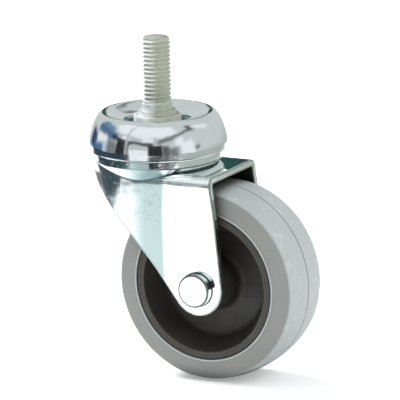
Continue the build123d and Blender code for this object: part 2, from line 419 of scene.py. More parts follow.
def rounded(corners, steps=6):
    """An outline with its corners rounded. A corner is a height, a radius and its rounding."""
    outline = []
    befores = corners[-1:] + corners[:-1]
    afters = corners[1:] + corners[:1]
    for before, corner, after in zip(befores, corners, afters):
        here = Vector(corner[:2])
        if len(corner) == 2:
            outline.append(tuple(here))
            continue
        rounding = corner[2]
        back = (Vector(before[:2]) - here).normalized()
        on = (Vector(after[:2]) - here).normalized()
        half = back.angle(on) / 2
        middle = here + (back + on).normalized() * rounding / sin(half)
        start = here + back * rounding / tan(half) - middle
        end = here + on * rounding / tan(half) - middle
        for step in range(steps + 1):
            share = step / steps
            outline.append(tuple(middle + start.lerp(end, share).normalized() * rounding))
    return outline


def turned_piece(name, outline, segments, axle=None):
    """A closed piece turned about Z, or about the axle. Its outline goes up along its outside.

    Each point of the outline is a height along the axis and a radius, or a function that gives
    the radius for an angle. A piece turned about Z is solid, and one turned about the axle is a
    ring whose outline comes back inside it.
    """
    mesh = bmesh.new()
    rings = []
    for height, radius in outline:
        ring = []
        for step in range(segments):
            angle = tau * step / segments
            reach = radius(angle) if callable(radius) else radius
            across, up = reach * cos(angle), reach * sin(angle)
            place = (across, up, height) if axle is None else axle + Vector((up, height, across))
            ring.append(mesh.verts.new(place))
        rings.append(ring)
    uppers = rings[1:] if axle is None else rings[1:] + rings[:1]
    for lower, upper in zip(rings, uppers):
        for step in range(segments):
            after = (step + 1) % segments
            mesh.faces.new((lower[step], lower[after], upper[after], upper[step]))
    if axle is None:
        mesh.faces.new(rings[0][::-1])
        mesh.faces.new(rings[-1])
    piece = show(name, mesh)
    piece.data.shade_smooth()
    piece.data.set_sharp_from_angle(angle=CREASE)
    return piece


def show(name, mesh):
    """Puts a mesh into the scene as a piece."""
    data = bpy.data.meshes.new(name)
    mesh.to_mesh(data)
    mesh.free()
    piece = bpy.data.objects.new(name, data)
    bpy.context.scene.collection.objects.link(piece)
    return piece


# --- Making node trees -------------------------------------


def fill(tree, socket, value):
    """Links a socket to another, or sets its value."""
    if isinstance(value, bpy.types.NodeSocket):
        tree.links.new(value, socket)
    else:
        socket.default_value = value


def add(tree, kind, fields=None, **inputs):
    """Adds a node. Each input is a socket to link or a value to set, by its name or number."""
    node = tree.nodes.new(kind)
    for field, value in (fields or {}).items():
        setattr(node, field, value)
    for name, value in inputs.items():
        key = int(name[1:]) if name[0] == "i" and name[1:].isdigit() else name.replace("_", " ")
        fill(tree, node.inputs[key], value)
    return node


def maths(tree, operation, *values):
    """A Math node's answer."""
    inputs = {f"i{number}": value for number, value in enumerate(values)}
    return add(tree, "ShaderNodeMath", {"operation": operation}, **inputs).outputs[0]


def times(tree, value, share):
    """A value scaled by a share, or by another value."""
    return maths(tree, "MULTIPLY", value, share)


def raised(tree, value, mask, amount):
    """A value that is an amount higher where a mask is 1."""
    return maths(tree, "ADD", value, times(tree, mask, amount))


def from_axis(tree, across, up):
    """The distance from an axis of a point that lies this far across and up from it."""
    squares = maths(tree, "ADD", times(tree, across, across), times(tree, up, up))
    return maths(tree, "SQRT", squares)


def coordinates(tree, place):
    """The three coordinates of a place."""
    return add(tree, "ShaderNodeSeparateXYZ", Vector=place).outputs


def ramp(tree, value, low, high, to_low=0.0, to_high=1.0):
    """A value eased from one range to another and held at its ends."""
    fields = {"interpolation_type": "SMOOTHSTEP", "clamp": True}
    inputs = {"i0": value, "i1": low, "i2": high, "i3": to_low, "i4": to_high}
    return add(tree, "ShaderNodeMapRange", fields, **inputs).outputs[0]


def ridge(tree, value, middle, half, soft):
    """1 within half of the middle, eased to 0 over the soft width on either side."""
    off = maths(tree, "ABSOLUTE", maths(tree, "SUBTRACT", value, middle))
    return ramp(tree, off, half + soft / 2, half - soft / 2)


def mixed(tree, share, first, second):
    """Two colours mixed by a share."""
    first, second = (
        colour if isinstance(colour, bpy.types.NodeSocket) else (*colour, 1.0)
        for colour in (first, second)
    )
    fields = {"data_type": "RGBA"}
    return add(tree, "ShaderNodeMix", fields, i0=share, i6=first, i7=second).outputs[2]


def tinted(colour, mark):
    """A finish's colour as one of its marks changes it."""
    return tuple(min(1.0, part * share) for part, share in zip(colour, MARKS[mark]))


def noise(tree, place, scale, detail=2.0, roughness=0.5):
    """A noise texture's value."""
    inputs = {"Vector": place, "Scale": scale, "Detail": detail, "Roughness": roughness}
    return add(tree, "ShaderNodeTexNoise", **inputs).outputs[0]


def new_group(name, inputs, outputs):
    """An empty shader node group with its sockets, and its input and output nodes."""
    group = bpy.data.node_groups.new(name, "ShaderNodeTree")
    for direction, sockets in (("INPUT", inputs), ("OUTPUT", outputs)):
        for label, kind in sockets:
            group.interface.new_socket(name=label, in_out=direction, socket_type=kind)
    return group, group.nodes.new("NodeGroupInput"), group.nodes.new("NodeGroupOutput")


def place_group(tree, group, **inputs):
    """Places a node group in a tree and returns its outputs."""
    return add(tree, "ShaderNodeGroup", {"node_tree": group}, **inputs).outputs


FLOAT = "NodeSocketFloat"
VECTOR = "NodeSocketVector"


def scratches_group():
    """Hairline scratches that run in three directions."""
    group, given, out = new_group(
        "Hairline scratches", (("Place", VECTOR), ("Scale", FLOAT)), (("Mask", FLOAT),)
    )
    stretch = 0.06
    faint, clear = 0.66, 0.74
    mask = 0.0
    for turn in (0.3, 1.4, 2.5):
        turned = add(
            group,
            "ShaderNodeMapping",
            Vector=given.outputs["Place"],
            Rotation=(turn, turn * 0.7, turn * 1.9),
            Scale=(1.0, stretch, 1.0),
        ).outputs[0]
        lines = noise(group, turned, given.outputs["Scale"], 1.0)
        mask = maths(group, "MAXIMUM", mask, ramp(group, lines, faint, clear))
    group.links.new(mask, out.inputs["Mask"])
    return group


def bloom_group():
    """Soft clouds in a plating or a moulding, from 0 to 1, with fine grain beside them."""
    group, given, out = new_group(
        "Surface bloom",
        (("Place", VECTOR), ("Cloud scale", FLOAT), ("Grain scale", FLOAT)),
        (("Clouds", FLOAT), ("Grain", FLOAT)),
    )
    place, cloud_scale, grain_scale = given.outputs[:3]
    clouds = noise(group, place, cloud_scale, detail=3.0, roughness=0.55)
    grain = noise(group, place, grain_scale, detail=2.0, roughness=0.6)
    group.links.new(ramp(group, clouds, 0.3, 0.7), out.inputs["Clouds"])
    group.links.new(grain, out.inputs["Grain"])
    return group


def edges_group():
    """A mask of the sharp edges, as wide as asked, along which a dark reflection is painted."""
    group, given, out = new_group("Sharp edges", (("Width", FLOAT),), (("Mask", FLOAT),))
    eased = add(group, "ShaderNodeBevel", {"samples": 8}, Radius=given.outputs["Width"]).outputs[0]
    flat = group.nodes.new("ShaderNodeNewGeometry").outputs["Normal"]
    turn = add(group, "ShaderNodeVectorMath", {"operation": "DOT_PRODUCT"}, i0=eased, i1=flat)
    just_turned, well_turned = 0.9995, 0.985
    mask = ramp(group, turn.outputs["Value"], just_turned, well_turned)
    group.links.new(mask, out.inputs["Mask"])
    return group


def wheel_place_group():
    """Where a point lies on the wheel: its distance from the axle and along it."""
    group, given, out = new_group(
        "Wheel place", (("Place", VECTOR),), (("Radius", FLOAT), ("Along axle", FLOAT))
    )
    axle = axle_middle()
    x, y, z = coordinates(group, given.outputs["Place"])
    across = maths(group, "SUBTRACT", x, axle.x)
    up = maths(group, "SUBTRACT", z, axle.z)
    group.links.new(from_axis(group, across, up), out.inputs["Radius"])
    group.links.new(y, out.inputs["Along axle"])
    return group


shared = {}


def share_groups():
    """Builds the shared node groups once."""
    shared["scratches"] = scratches_group()
    shared["bloom"] = bloom_group()
    shared["edges"] = edges_group()
    shared["wheel place"] = wheel_place_group()


def bloomed(tree, place, cloud_scale, grain_scale):
    """The clouds and the grain of a surface."""
    scales = {"Cloud_scale": cloud_scale, "Grain_scale": grain_scale}
    outputs = place_group(tree, shared["bloom"], Place=place, **scales)
    return outputs["Clouds"], outputs["Grain"]


def scratched(tree, place, scale):
    """The mask of a surface's hairline scratches."""
    return place_group(tree, shared["scratches"], Place=place, Scale=scale)["Mask"]


def new_material(name):
    """A material with its tree, its shader and the place of each point on the resting castor."""
    material = bpy.data.materials.new(name)
    material.use_nodes = True
    tree = material.node_tree
    shader = tree.nodes["Principled BSDF"]
    place = tree.nodes.new("ShaderNodeTexCoord").outputs["Object"]
    return material, tree, shader, place


def set_shader(shader, **inputs):
    """Sets or links the shader's sockets."""
    for name, value in inputs.items():
        fill(shader.id_data, shader.inputs[name.replace("_", " ")], value)


def bump(tree, height, strength, distance, under=None):
    """A normal bent by a height, over another bent normal if there is one."""
    node = add(tree, "ShaderNodeBump", Height=height, Strength=strength, Distance=distance)
    if under is not None:
        tree.links.new(under, node.inputs["Normal"])
    return node.outputs[0]


# --- Finishes ----------------------------------------------


# How much of the red, green and blue of a finish's own colour each of its marks leaves.
MARKS = {
    "smudged chrome": (0.95, 0.96, 0.96),
    "clouded zinc": (0.95, 0.99, 1.0),
    # Painted reflection: a dark line along sharp edges.
    "painted edge reflection": (0.08, 0.09, 0.09),
    # Painted reflection: a dark ring near the edge of the rivet's head.
    "painted dark rim": (0.1, 0.11, 0.11),
    # Painted shadow round the base of the rivet's head.
    "painted_head_shadow": (0.12, 0.13, 0.12),
    # Painted shade on the inside of the fork.
    "painted inner shade": (0.16, 0.16, 0.14),
    # Painted reflection: a cool band down the fork's legs.
    "painted reflection band": (0.32, 0.42, 0.43),
    # Painted shade in the roots of the thread.
    "painted root shade": (0.34, 0.35, 0.3),
    "clouded thread": (0.93, 0.95, 0.93),
    # Painted shade down the stem's +X side.
    "painted side shade": (0.58, 0.6, 0.52),
    "clouded rubber": (1.08, 1.07, 1.1),
    "scuffed rubber": (1.28, 1.29, 1.31),
    "speck": (0.85, 0.85, 0.84),
    "parting line": (0.3, 0.3, 0.29),
    # Painted shade where other parts come near the tyre.
    "painted occlusion shade": (0.32, 0.33, 0.32),
    "clouded plastic": (1.3, 1.15, 1.05),
    "rim": (2.0, 2.0, 1.9),
    # Painted highlight along the inner edge of the hub's rim.
    "painted rim highlight": (3.4, 3.1, 3.0),
    # Painted shade in the gap between the hub and the tyre.
    "joint": (0.7, 0.75, 0.75),
    "clouded bush": (0.85, 0.85, 0.83),
}


def finish_colour(name):
    """A finish's colour, from the settings."""
    return tuple(getattr(bpy.context.scene.castor.finish, name))


def chrome_material():
    """Polished chrome over slightly wavy drawn sheet, with smudges and hairlines."""
    material, tree, shader, place = new_material("Polished chrome")
    colour = finish_colour("chrome")
    clouds, _ = bloomed(tree, place, cloud_scale=60.0, grain_scale=900.0)
    lines = scratched(tree, place, scale=900.0)
    waves, wave_height = noise(tree, place, scale=120.0, detail=1.0), 0.22 * MM
    polished, smudged = 0.09, 0.14
    rough = ramp(tree, clouds, 0.35, 1.0, polished, smudged)
    set_shader(
        shader,
        Base_Color=mixed(tree, clouds, colour, tinted(colour, "smudged chrome")),
        Metallic=1.0,
        Roughness=raised(tree, rough, lines, 0.06),
        Normal=bump(tree, waves, 1.0, wave_height),
    )
    return material


def bright_zinc(name, cloud_scale):
    """The start of a bright plated finish: its tree, shader, place, tint and roughness."""
    material, tree, shader, place = new_material(name)
    colour = finish_colour("zinc")
    clouds, grain = bloomed(tree, place, cloud_scale, grain_scale=1400.0)
    lines = scratched(tree, place, scale=700.0)
    edge_reflection_width = 1.1 * MM
    edge = place_group(tree, shared["edges"], Width=edge_reflection_width)["Mask"]
    waves, wave_height = noise(tree, place, scale=110.0, detail=1.0), 0.14 * MM
    grain_height = 0.02 * MM
    bright, clouded = 0.06, 0.1
    tint = mixed(tree, clouds, colour, tinted(colour, "clouded zinc"))
    # Painted reflection: a dark line along the sharp edges, in place of the dark surroundings that
    # an edge mirrors.
    tint = mixed(tree, edge, tint, tinted(colour, "painted edge reflection"))
    rough = ramp(tree, clouds, 0.0, 1.0, bright, clouded)
    rough = raised(tree, rough, lines, 0.1)
    rough = raised(tree, rough, edge, 0.2)
    normal = bump(tree, waves, 1.0, wave_height)
    normal = bump(tree, grain, 0.15, grain_height, normal)
    set_shader(shader, Metallic=1.0, Normal=normal)
    return material, tree, shader, place, tint, rough


def zinc_material():
    """Bright zinc plating on a turned or formed piece."""
    material, tree, shader, _, tint, rough = bright_zinc("Bright zinc", cloud_scale=60.0)
    set_shader(shader, Base_Color=tint, Roughness=rough)
    return material


def ring_round_axle(tree, place, radius, half, soft):
    """A mask of a ring round the axle."""
    at = place_group(tree, shared["wheel place"], Place=place)
    return ridge(tree, at["Radius"], radius, half, soft)


def rivet_material():
    """Bright zinc with a painted dark ring near the edge of the head, a painted reflection of its
    rounded edge.
    """
    material, tree, shader, place, tint, rough = bright_zinc("Rivet zinc", cloud_scale=90.0)
    dark_rim_r = rivet_head_radius() - 0.4 * MM
    # Painted reflection: a dark ring near the edge of the head.
    ring = ring_round_axle(tree, place, dark_rim_r, half=0.3 * MM, soft=0.2 * MM)
    tint = mixed(tree, ring, tint, tinted(finish_colour("zinc"), "painted dark rim"))
    set_shader(shader, Base_Color=tint, Roughness=raised(tree, rough, ring, 0.2))
    return material


def fork_material():
    """Bright zinc on pressed sheet, with a painted reflection as a cool band down the legs, painted
    shade on the inside and a painted shadow round the rivet's head.
    """
    material, tree, shader, place, tint, rough = bright_zinc("Fork zinc", cloud_scale=45.0)
    colour = finish_colour("zinc")
    x, y, z = coordinates(tree, place)
    # Painted reflection: a cool, darker band that runs down the legs.
    wander = 2 * MM
    across = maths(tree, "ADD", x, times(tree, noise(tree, place, scale=40.0), wander))
    band_start, band_full, band_edge, band_end = -7 * MM, 6 * MM, 12.5 * MM, 14 * MM
    rise = ramp(tree, across, band_start, band_full)
    reflection_band = times(tree, rise, ramp(tree, across, band_end, band_edge))
    tint = mixed(tree, times(tree, reflection_band, 0.85), tint, tinted(colour, "painted reflection band"))
    # Painted shade on the inner faces of the legs below the roof, where the inside of the fork lies
    # in shade.
    inner_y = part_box("axle_sleeve")[1].y
    above_tyre = 4 * MM
    roof_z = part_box("tyre")[1].z + above_tyre
    off = maths(tree, "ABSOLUTE", y)
    inside = ramp(tree, off, inner_y + 0.4 * MM, inner_y + 0.2 * MM)
    inside = times(tree, inside, ramp(tree, z, roof_z, roof_z - 0.3 * MM))
    tint = mixed(tree, inside, tint, tinted(colour, "painted inner shade"))
    # Painted shadow: a thin dark ring on the leg round the base of the rivet's head.
    head_shadow_r = rivet_head_radius() + 0.15 * MM
    painted_head_shadow = ring_round_axle(tree, place, head_shadow_r, half=0.25 * MM, soft=0.3 * MM)
    tint = mixed(tree, painted_head_shadow, tint, tinted(colour, "painted_head_shadow"))
    set_shader(shader, Base_Color=tint, Roughness=raised(tree, rough, inside, 0.25))
    return material


def satin_zinc_material():
    """Satin zinc over the rolled thread: bright on the crests, with painted shade in the roots and
    down the stem's +X side.
    """
    material, tree, shader, place = new_material("Satin zinc")
    colour = finish_colour("satin_zinc")
    crest_r = bpy.context.scene.castor.stem.diameter / 2
    x, y, z = coordinates(tree, place)
    radius = from_axis(tree, x, y)
    near_crest = ramp(tree, radius, crest_r - 1.0 * MM, crest_r - 0.5 * MM)
    grain_height = 0.02 * MM
    clouds, grain = bloomed(tree, place, cloud_scale=160.0, grain_scale=2400.0)
    lines = scratched(tree, place, scale=1500.0)
    # Painted shade: the roots of the thread are darker than its crests.
    tint = mixed(tree, near_crest, tinted(colour, "painted root shade"), colour)
    tint = mixed(tree, times(tree, clouds, 0.4), tint, tinted(colour, "clouded thread"))
    # Painted shade: the thread darkens towards +X, all but its end face.
    wander = 4 * MM
    across = maths(tree, "ADD", x, times(tree, noise(tree, place, scale=90.0), wander))
    side_shade_start, side_shade_full = 0.5 * MM, 6 * MM
    end_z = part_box("threaded_stem")[1].z
    below_end = ramp(tree, z, end_z - 0.1 * MM, end_z - 0.3 * MM)
    shaded_side = times(tree, ramp(tree, across, side_shade_start, side_shade_full), below_end)
    tint = mixed(tree, shaded_side, tint, tinted(colour, "painted side shade"))
    in_roots, on_crests = 0.4, 0.24
    rough = ramp(tree, near_crest, 0.0, 1.0, in_roots, on_crests)
    set_shader(
        shader,
        Base_Color=tint,
        Metallic=0.6,
        Roughness=raised(tree, rough, lines, 0.08),
        Normal=bump(tree, grain, 0.05, grain_height),
    )
    return material


def rubber_material():
    """Matt grey rubber, scuffed and dusty on the tread. The tread and the bead are paler, partly
    from wear and partly as painted light, with painted shade where other parts come near.
    """
    material, tree, shader, place = new_material("Grey rubber")
    side = finish_colour("rubber")
    worn_and_lit = finish_colour("worn_and_lit_rubber")
    wheel = bpy.context.scene.castor.wheel
    tread_r, bore_r, _ = wheel_sizes()
    edge_r = tread_r - wheel.tread_drop
    at = place_group(tree, shared["wheel place"], Place=place)
    radius = at["Radius"]
    clouds, grain = bloomed(tree, place, cloud_scale=70.0, grain_scale=2600.0)
    lines = scratched(tree, place, scale=420.0)
    on_tread = ramp(tree, radius, edge_r - 0.9 * MM, edge_r + 0.1 * MM)
    on_bead = ramp(tree, radius, bore_r + wheel.bead_width, bore_r + wheel.bead_width * 0.7)
    base = mixed(tree, clouds, side, tinted(side, "clouded rubber"))
    # Wear and painted light: the tread and the bead take a paler colour, which stands both for wear
    # and for the light falling on the tread.
    base = mixed(tree, maths(tree, "MAXIMUM", on_tread, on_bead), base, worn_and_lit)
    flecks = noise(tree, place, scale=260.0, detail=8.0, roughness=0.8)
    flecks = ramp(tree, flecks, 0.5, 0.62)
    scuffs = maths(tree, "MAXIMUM", flecks, times(tree, lines, 0.3))
    scuffs = times(tree, times(tree, scuffs, on_tread), ramp(tree, clouds, 0.35, 0.8))
    base = mixed(tree, times(tree, scuffs, 0.6), base, tinted(worn_and_lit, "scuffed rubber"))
    specks = ramp(tree, grain, 0.62, 0.72)
    base = mixed(tree, times(tree, specks, 0.35), base, tinted(side, "speck"))
    off_middle = maths(tree, "ABSOLUTE", at["Along axle"])
    in_line = times(tree, on_tread, ramp(tree, off_middle, 0.35 * MM, 0.15 * MM))
    base = mixed(tree, times(tree, in_line, 0.8), base, tinted(side, "parting line"))
    # Painted shade: the rubber darkens where the fork's leg, the floor or other parts come near.
    fields, occlusion_reach = {"samples": 8}, 8 * MM
    occlusion = add(tree, "ShaderNodeAmbientOcclusion", fields, Distance=occlusion_reach).outputs["AO"]
    unoccluded = ramp(tree, occlusion, 0.35, 1.0)
    base = mixed(tree, unoccluded, tinted(side, "painted occlusion shade"), base)
    rings = add(
        tree,
        "ShaderNodeTexWave",
        {"wave_type": "BANDS", "bands_direction": "X"},
        Vector=add(tree, "ShaderNodeCombineXYZ", X=radius).outputs[0],
        Scale=260.0,
        Distortion=0.4,
    ).outputs[1]
    ring_height, grain_height = 0.03 * MM, 0.08 * MM
    normal = bump(tree, rings, 0.12, ring_height)
    smooth, matt = 0.55, 0.7
    set_shader(
        shader,
        Base_Color=base,
        Roughness=ramp(tree, clouds, 0.0, 1.0, smooth, matt),
        Normal=bump(tree, grain, 0.25, grain_height, normal),
    )
    return material


def dark_plastic_material():
    """Satin moulded plastic, nearly black, paler on the rim, with a painted highlight along the
    rim's inner edge and painted shade where the rim meets the tyre.
    """
    material, tree, shader, place = new_material("Dark plastic")
    colour = finish_colour("dark_plastic")
    _, bore_r, _ = wheel_sizes()
    mouth_r = bore_r - bpy.context.scene.castor.wheel.rim_wall
    radius = place_group(tree, shared["wheel place"], Place=place)["Radius"]
    clouds, grain = bloomed(tree, place, cloud_scale=90.0, grain_scale=1800.0)
    lines = scratched(tree, place, scale=500.0)
    base = mixed(tree, clouds, colour, tinted(colour, "clouded plastic"))
    on_rim = ramp(tree, radius, mouth_r - 0.2 * MM, mouth_r + 0.3 * MM)
    base = mixed(tree, on_rim, base, tinted(colour, "rim"))
    # Painted highlight: a pale line along the rim's inner edge.
    inner_edge_highlight = ridge(tree, radius, mouth_r + 0.35 * MM, 0.3 * MM, 0.3 * MM)
    base = mixed(tree, times(tree, inner_edge_highlight, 0.7), base, tinted(colour, "painted rim highlight"))
    # Painted shade in the gap where the rim meets the tyre.
    in_gap_shade = ramp(tree, radius, bore_r - 0.9 * MM, bore_r - 0.4 * MM)
    base = mixed(tree, in_gap_shade, base, tinted(colour, "joint"))
    satin, dull, grain_height = 0.48, 0.6, 0.05 * MM
    rough = ramp(tree, clouds, 0.0, 1.0, satin, dull)
    set_shader(
        shader,
        Base_Color=base,
        Roughness=raised(tree, rough, lines, 0.1),
        Specular_IOR_Level=0.5,
        Normal=bump(tree, grain, 0.2, grain_height),
    )
    return material


def pale_plastic_material():
    """Natural moulded plastic for the bushes."""
    material, tree, shader, place = new_material("Pale plastic")
    colour = finish_colour("pale_plastic")
    clouds, grain = bloomed(tree, place, cloud_scale=200.0, grain_scale=2200.0)
    satin, dull = 0.35, 0.5
    set_shader(
        shader,
        Base_Color=mixed(tree, clouds, colour, tinted(colour, "clouded bush")),
        Roughness=ramp(tree, grain, 0.3, 0.7, satin, dull),
        Subsurface_Weight=0.1,
    )
    return material


def finish_nodes(material, *nodes):
    """Gives CAD nodes a material."""
    for name in nodes:
        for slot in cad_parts[name].material_slots:
            slot.material = material


def finish_piece(piece, material, body):
    """Gives a piece its material and its body."""
    piece.data.materials.append(material)
    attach(piece, body)


# --- Pieces ------------------------------------------------


class CASTOR_OT_stem(bpy.types.Operator):
    """Make the threaded stem with its collar, flange and kingpin"""

    bl_idname = "castor.stem"
    bl_label = "Threaded stem"

    SEGMENTS = 96
    ROWS_PER_PITCH = 16
    HALF_CREST = 1 / 16
    HALF_MOUTH_TO_ROOT = 3 / 8

    def thread_radius(self, stem, facing, height, top):
        """The thread's radius at a height, as a function of the angle about the stem."""
        crest_r = stem.diameter / 2
        flank = self.HALF_MOUTH_TO_ROOT - self.HALF_CREST
        depth = flank * stem.pitch / tan(stem.flank_angle / 2)
        run_in = min(1.0, max(0.0, (height - stem.neck) / stem.pitch))
        limit = crest_r - max(0.0, height - (top - stem.chamfer))

        def radius(angle):
            turns = (height - stem.neck) / stem.pitch - (angle - facing) / tau
            fall = (abs(turns - round(turns)) - self.HALF_CREST) / flank
            return min(limit, crest_r - depth * run_in * min(1.0, max(0.0, fall)))

        return radius

    def execute(self, context):
        stem = context.scene.castor.stem
        low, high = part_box("threaded_stem")
        facing = context.scene.castor.stage.azimuth - pi / 2
        collar_z = -stem.collar_height
        flange_z = collar_z - stem.flange_height
        pin_r = stem.kingpin_diameter / 2
        head_r = stem.head_diameter / 2
        outline = rounded(
            [
                (low.z, 0.0),
                (low.z, head_r, stem.head_rounding),
                (low.z + stem.head_height, head_r),
                (low.z + stem.head_height, pin_r),
                (flange_z, pin_r),
                (flange_z, high.x),
                (collar_z, high.x, stem.flange_rounding),
                (collar_z, stem.collar_diameter / 2),
                (0.0, stem.collar_diameter / 2),
                (0.0, stem.diameter / 2),
            ]
        )[1:]
        rows = round((high.z - stem.neck) / stem.pitch * self.ROWS_PER_PITCH)
        for row in range(rows + 1):
            height = stem.neck + (high.z - stem.neck) * row / rows
            outline.append((height, self.thread_radius(stem, facing, height, high.z)))
        piece = turned_piece("stem_with_thread", outline, self.SEGMENTS)
        finish_piece(piece, satin_zinc_material(), "head")
        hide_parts("threaded_stem")
        return {"FINISHED"}


class CASTOR_OT_cap(bpy.types.Operator):
    """Finish the cap"""

    bl_idname = "castor.cap"
    bl_label = "Cap"

    def execute(self, context):
        finish_nodes(chrome_material(), "top_cap")
        return {"FINISHED"}


class CASTOR_OT_fork(bpy.types.Operator):
    """Finish the fork"""

    bl_idname = "castor.fork"
    bl_label = "Fork"

    def execute(self, context):
        finish_nodes(fork_material(), "fork")
        return {"FINISHED"}


class CASTOR_OT_axle(bpy.types.Operator):
    """Finish the rivet and its sleeve"""

    bl_idname = "castor.axle"
    bl_label = "Axle"

    def execute(self, context):
        finish_nodes(rivet_material(), "axle_rivet")
        finish_nodes(zinc_material(), "axle_sleeve")
        return {"FINISHED"}


class CASTOR_OT_tyre(bpy.types.Operator):
    """Make the tyre with its bead and parting line"""

    bl_idname = "castor.tyre"
    bl_label = "Tyre"

    SEGMENTS = 192
    TREAD_ROWS = 10

    def half_outline(self, wheel):
        """The tyre's outline from its parting line over one side to the hub's key."""
        tread_r, bore_r, side_y = wheel_sizes()
        edge_r, edge_y = tread_r - wheel.tread_drop, side_y - wheel.edge_inset
        arc_r = hypot(edge_y, wheel.tread_drop) ** 2 / 2 / wheel.tread_drop
        heights = [wheel.parting_width / 2]
        heights += [edge_y * row / self.TREAD_ROWS for row in range(1, self.TREAD_ROWS)]
        tread = [(y, tread_r - arc_r + sqrt(arc_r**2 - y**2)) for y in heights]
        lean = wheel.edge_inset / (edge_r - bore_r)
        bead_r = bore_r + wheel.bead_width
        bead_y = side_y - lean * wheel.bead_width
        bead_round = wheel.bead_height / 2
        return [
            (0.0, tread_r - wheel.parting_depth),
            *tread,
            (edge_y, edge_r, wheel.edge_rounding),
            (bead_y, bead_r),
            (bead_y + wheel.bead_height, bead_r - bead_round, bead_round),
            (side_y + bead_round, bore_r, bead_round),
            (wheel.key_width / 2, bore_r),
            (wheel.key_width / 2, bore_r + wheel.key_height),
        ]

    def execute(self, context):
        half = self.half_outline(context.scene.castor.wheel)
        other = [(-corner[0], *corner[1:]) for corner in half[:0:-1]]
        outline = rounded(other + half)
        piece = turned_piece("tyre_with_bead", outline, self.SEGMENTS, axle_middle())
        finish_piece(piece, rubber_material(), "wheel")
        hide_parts("tyre")
        return {"FINISHED"}


class CASTOR_OT_hub(bpy.types.Operator):
    """Make the hub with its rim and dishes, and finish its bushes"""

    bl_idname = "castor.hub"
    bl_label = "Hub"

    SEGMENTS = 160

    def half_outline(self, wheel):
        """The hub's outline from the middle of its key over one side to its bore."""
        _, bore_r, side_y = wheel_sizes()
        low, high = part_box("bush_near")
        bush_r = (high.z - low.z) / 2 - wheel.bush_flange_width
        mouth_r = bore_r - wheel.rim_wall
        boss_r = bush_r + wheel.boss_wall
        web_y = wheel.web_thickness / 2
        return [
            (wheel.key_width / 2, bore_r + wheel.key_height),
            (wheel.key_width / 2, bore_r),
            (side_y, bore_r, wheel.rim_rounding),
            (side_y, mouth_r, wheel.rim_rounding),
            (web_y, mouth_r - wheel.dish_draft, wheel.web_rounding),
            (web_y, boss_r + wheel.boss_draft, wheel.web_rounding),
            (wheel.boss_length / 2, boss_r),
            (wheel.boss_length / 2, bush_r),
        ]

    def execute(self, context):
        half = self.half_outline(context.scene.castor.wheel)
        other = [(-corner[0], *corner[1:]) for corner in half[::-1]]
        outline = rounded(other + half)
        piece = turned_piece("hub_with_dishes", outline, self.SEGMENTS, axle_middle())
        finish_piece(piece, dark_plastic_material(), "wheel")
        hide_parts("hub")
        finish_nodes(pale_plastic_material(), "bush_near", "bush_far")
        return {"FINISHED"}


class CASTOR_OT_bearings(bpy.types.Operator):
    """Finish the balls and the lower race cup"""

    bl_idname = "castor.bearings"
    bl_label = "Bearings"

    def execute(self, context):
        balls = [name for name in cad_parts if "_ball_" in name]
        finish_nodes(chrome_material(), *balls)
        finish_nodes(zinc_material(), "lower_race_cup")
        return {"FINISHED"}


# --- Stage -------------------------------------------------


